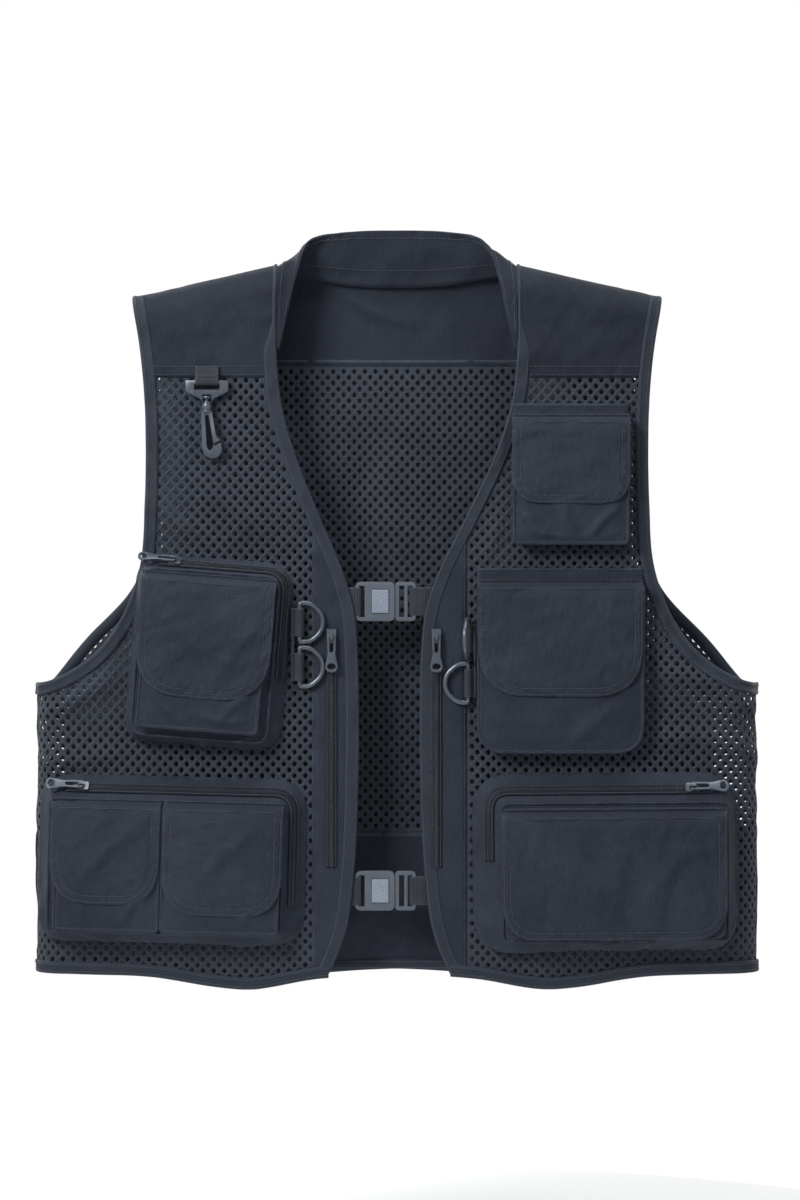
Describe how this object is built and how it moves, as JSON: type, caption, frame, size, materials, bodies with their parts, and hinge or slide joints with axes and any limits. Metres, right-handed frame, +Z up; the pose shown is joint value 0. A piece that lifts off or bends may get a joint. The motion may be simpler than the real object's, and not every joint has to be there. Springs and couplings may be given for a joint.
{
  "type": "fishing vest",
  "caption": "Sleeveless mesh and nylon vest with a V neck, buckled front, flapped and zipped pockets, rings and a swivel hook.",
  "frame": {"origin": "middle of the shoulder line, where a hanger carries the vest", "axes": "+Z up along the wearer's spine, -Y out of the front, +X to the right as seen from the front"},
  "size_m": [0.626, 0.0734, 0.6592],
  "materials": {
    "nylon": "plain woven slate-navy nylon, faint ribs, edge stitched",
    "mesh": "knitted open mesh, staggered oval holes",
    "tape": "folded nylon binding, stitched along its edge",
    "webbing": "ribbed polypropylene webbing",
    "zip_coil": "nylon coil on a woven tape",
    "gunmetal": "blue-grey moulded plastic, slightly glossy",
    "buckle_shell": "slate grey moulded acetal",
    "buckle_button": "lighter grey push button with a dimple pattern"
  },
  "bodies": {
    "vest": {"armhole_binding_left": "tape", "placket_left": "nylon", "front_yoke_left": "nylon", "front_mesh_left": "mesh", "armhole_binding_right": "tape", "placket_right": "nylon", "front_yoke_right": "nylon", "front_mesh_right": "mesh", "back_yoke": "nylon", "back_mesh": "mesh", "back_lower_panel": "nylon", "hem_binding": "tape", "collar": "nylon", "chest_pocket_body": "nylon", "chest_pocket_zip": "zip_coil", "chest_patch_pocket": "nylon", "lower_left_pocket_body": "nylon", "lower_left_pocket_zip": "zip_coil", "lower_left_patch_pockets": "nylon", "lower_right_pocket_body": "nylon", "lower_right_pocket_zip": "zip_coil", "lower_right_patch_pocket": "nylon", "upper_right_pocket": "nylon", "middle_right_pocket": "nylon", "placket_zip_left": "zip_coil", "placket_zip_right": "zip_coil", "ring_webbing_left": "webbing", "ring_webbing_right": "webbing", "buckle_upper_female": "buckle_shell", "strap_upper_left": "webbing", "buckle_lower_female": "buckle_shell", "strap_lower_left": "webbing"},
    "chest_flap": {"chest_flap": "nylon"},
    "lower_left_flap_outer": {"lower_left_flap_outer": "nylon"},
    "lower_left_flap_inner": {"lower_left_flap_inner": "nylon"},
    "lower_right_flap": {"lower_right_flap": "nylon"},
    "upper_right_flap": {"upper_right_flap": "nylon"},
    "middle_right_flap": {"middle_right_flap": "nylon"},
    "chest_pocket_zip_slider": {"chest_pocket_zip_slider": "gunmetal"},
    "chest_pocket_zip_pull": {"chest_pocket_zip_pull": "gunmetal"},
    "lower_left_pocket_zip_slider": {"lower_left_pocket_zip_slider": "gunmetal"},
    "lower_left_pocket_zip_pull": {"lower_left_pocket_zip_pull": "gunmetal"},
    "lower_right_pocket_zip_slider": {"lower_right_pocket_zip_slider": "gunmetal"},
    "lower_right_pocket_zip_pull": {"lower_right_pocket_zip_pull": "gunmetal"},
    "placket_zip_left_slider": {"placket_zip_left_slider": "gunmetal"},
    "placket_zip_left_pull": {"placket_zip_left_pull": "gunmetal"},
    "placket_zip_right_slider": {"placket_zip_right_slider": "gunmetal"},
    "placket_zip_right_pull": {"placket_zip_right_pull": "gunmetal"},
    "d_ring_left_upper": {"d_ring_left_upper": "gunmetal"},
    "d_ring_left_lower": {"d_ring_left_lower": "gunmetal"},
    "d_ring_right_upper": {"d_ring_right_upper": "gunmetal"},
    "d_ring_right_lower": {"d_ring_right_lower": "gunmetal"},
    "hook_base": {"hook_base": "gunmetal"},
    "swivel_hook": {"swivel_hook": "gunmetal"},
    "buckle_upper_tongue": {"buckle_upper_male": "buckle_shell", "strap_upper_right": "webbing"},
    "buckle_upper_button": {"buckle_upper_button": "buckle_button"},
    "buckle_lower_tongue": {"buckle_lower_male": "buckle_shell", "strap_lower_right": "webbing"},
    "buckle_lower_button": {"buckle_lower_button": "buckle_button"}
  },
  "joints": [
    {"name": "chest_flap_lift", "type": "hinge", "parent": "vest", "child": "chest_flap", "pos_m": [-0.16096, -0.0398, -0.27281], "axis": [-0.9969, 0, 0.0785], "range_deg": [0, 95]},
    {"name": "lower_left_flap_outer_lift", "type": "hinge", "parent": "vest", "child": "lower_left_flap_outer", "pos_m": [-0.24957, -0.0398, -0.46552], "axis": [-0.9997, 0, 0.0262], "range_deg": [0, 95]},
    {"name": "lower_left_flap_inner_lift", "type": "hinge", "parent": "vest", "child": "lower_left_flap_inner", "pos_m": [-0.14886, -0.0398, -0.46816], "axis": [-0.9997, 0, 0.0262], "range_deg": [0, 95]},
    {"name": "lower_right_flap_lift", "type": "hinge", "parent": "vest", "child": "lower_right_flap", "pos_m": [0.18636, -0.0398, -0.47394], "axis": [-1, 0, -0.0087], "range_deg": [0, 95]},
    {"name": "upper_right_flap_lift", "type": "hinge", "parent": "vest", "child": "upper_right_flap", "pos_m": [0.15, -0.0272, -0.134], "axis": [-1, 0, 0], "range_deg": [0, 90]},
    {"name": "middle_right_flap_lift", "type": "hinge", "parent": "vest", "child": "middle_right_flap", "pos_m": [0.141, -0.0272, -0.277], "axis": [-1, 0, 0], "range_deg": [0, 90]},
    {"name": "chest_pocket_zip_slider_run", "type": "slide", "parent": "vest", "child": "chest_pocket_zip_slider", "axis": [0.9969, 0, -0.0785], "range_m": [0, 0.07]},
    {"name": "chest_pocket_zip_pull_swing", "type": "hinge", "parent": "chest_pocket_zip_slider", "child": "chest_pocket_zip_pull", "pos_m": [-0.19174, -0.03546, -0.25599], "axis": [0.0485, 0.7863, 0.6159], "range_deg": [0, 120]},
    {"name": "lower_left_pocket_zip_slider_run", "type": "slide", "parent": "vest", "child": "lower_left_pocket_zip_slider", "axis": [0.9997, 0, -0.0262], "range_m": [0, 0.15]},
    {"name": "lower_left_pocket_zip_pull_swing", "type": "hinge", "parent": "lower_left_pocket_zip_slider", "child": "lower_left_pocket_zip_pull", "pos_m": [-0.2713, -0.03651, -0.45008], "axis": [0.0211, 0.5932, 0.8048], "range_deg": [0, 120]},
    {"name": "lower_right_pocket_zip_slider_run", "type": "slide", "parent": "vest", "child": "lower_right_pocket_zip_slider", "axis": [-1, 0, -0.0087], "range_m": [0, 0.145]},
    {"name": "lower_right_pocket_zip_pull_swing", "type": "hinge", "parent": "lower_right_pocket_zip_slider", "child": "lower_right_pocket_zip_pull", "pos_m": [0.25442, -0.03684, -0.45172], "axis": [0.0075, -0.5039, -0.8637], "range_deg": [0, 120]},
    {"name": "placket_zip_left_slider_run", "type": "slide", "parent": "vest", "child": "placket_zip_left_slider", "axis": [0, 0, -1], "range_m": [0, 0.19]},
    {"name": "placket_zip_left_pull_swing", "type": "hinge", "parent": "placket_zip_left_slider", "child": "placket_zip_left_pull", "pos_m": [-0.0565, -0.0296, -0.323], "axis": [-1, 0, 0], "range_deg": [0, 120]},
    {"name": "placket_zip_right_slider_run", "type": "slide", "parent": "vest", "child": "placket_zip_right_slider", "axis": [0, 0, -1], "range_m": [0, 0.19]},
    {"name": "placket_zip_right_pull_swing", "type": "hinge", "parent": "placket_zip_right_slider", "child": "placket_zip_right_pull", "pos_m": [0.034, -0.0296, -0.323], "axis": [-1, 0, 0], "range_deg": [0, 120]},
    {"name": "d_ring_left_upper_swing", "type": "hinge", "parent": "vest", "child": "d_ring_left_upper", "pos_m": [-0.084, -0.0278, -0.311], "axis": [0, 0, -1], "range_deg": [0, 95]},
    {"name": "d_ring_left_lower_swing", "type": "hinge", "parent": "vest", "child": "d_ring_left_lower", "pos_m": [-0.084, -0.0278, -0.3495], "axis": [0, 0, -1], "range_deg": [0, 95]},
    {"name": "d_ring_right_upper_swing", "type": "hinge", "parent": "vest", "child": "d_ring_right_upper", "pos_m": [0.0615, -0.0278, -0.325], "axis": [0, 0, 1], "range_deg": [-75, 5]},
    {"name": "d_ring_right_lower_swing", "type": "hinge", "parent": "vest", "child": "d_ring_right_lower", "pos_m": [0.0615, -0.0278, -0.3635], "axis": [0, 0, 1], "range_deg": [0, 95]},
    {"name": "hook_base_lift", "type": "hinge", "parent": "vest", "child": "hook_base", "pos_m": [-0.164, -0.02792, -0.104], "axis": [-1, 0, 0], "range_deg": [0, 100]},
    {"name": "hook_swivel", "type": "hinge", "parent": "hook_base", "child": "swivel_hook", "pos_m": [-0.164, -0.02972, -0.104], "axis": [0, 0, 1], "range_deg": [-180, 0]},
    {"name": "buckle_upper_release", "type": "slide", "parent": "vest", "child": "buckle_upper_tongue", "axis": [1, 0, 0], "range_m": [0, 0.022]},
    {"name": "buckle_upper_press", "type": "slide", "parent": "vest", "child": "buckle_upper_button", "axis": [0, 1, 0], "range_m": [0, 0.0015], "stiffness_N_per_m": 600},
    {"name": "buckle_lower_release", "type": "slide", "parent": "vest", "child": "buckle_lower_tongue", "axis": [1, 0, 0], "range_m": [0, 0.022]},
    {"name": "buckle_lower_press", "type": "slide", "parent": "vest", "child": "buckle_lower_button", "axis": [0, 1, 0], "range_m": [0, 0.0015], "stiffness_N_per_m": 600}
  ]
}
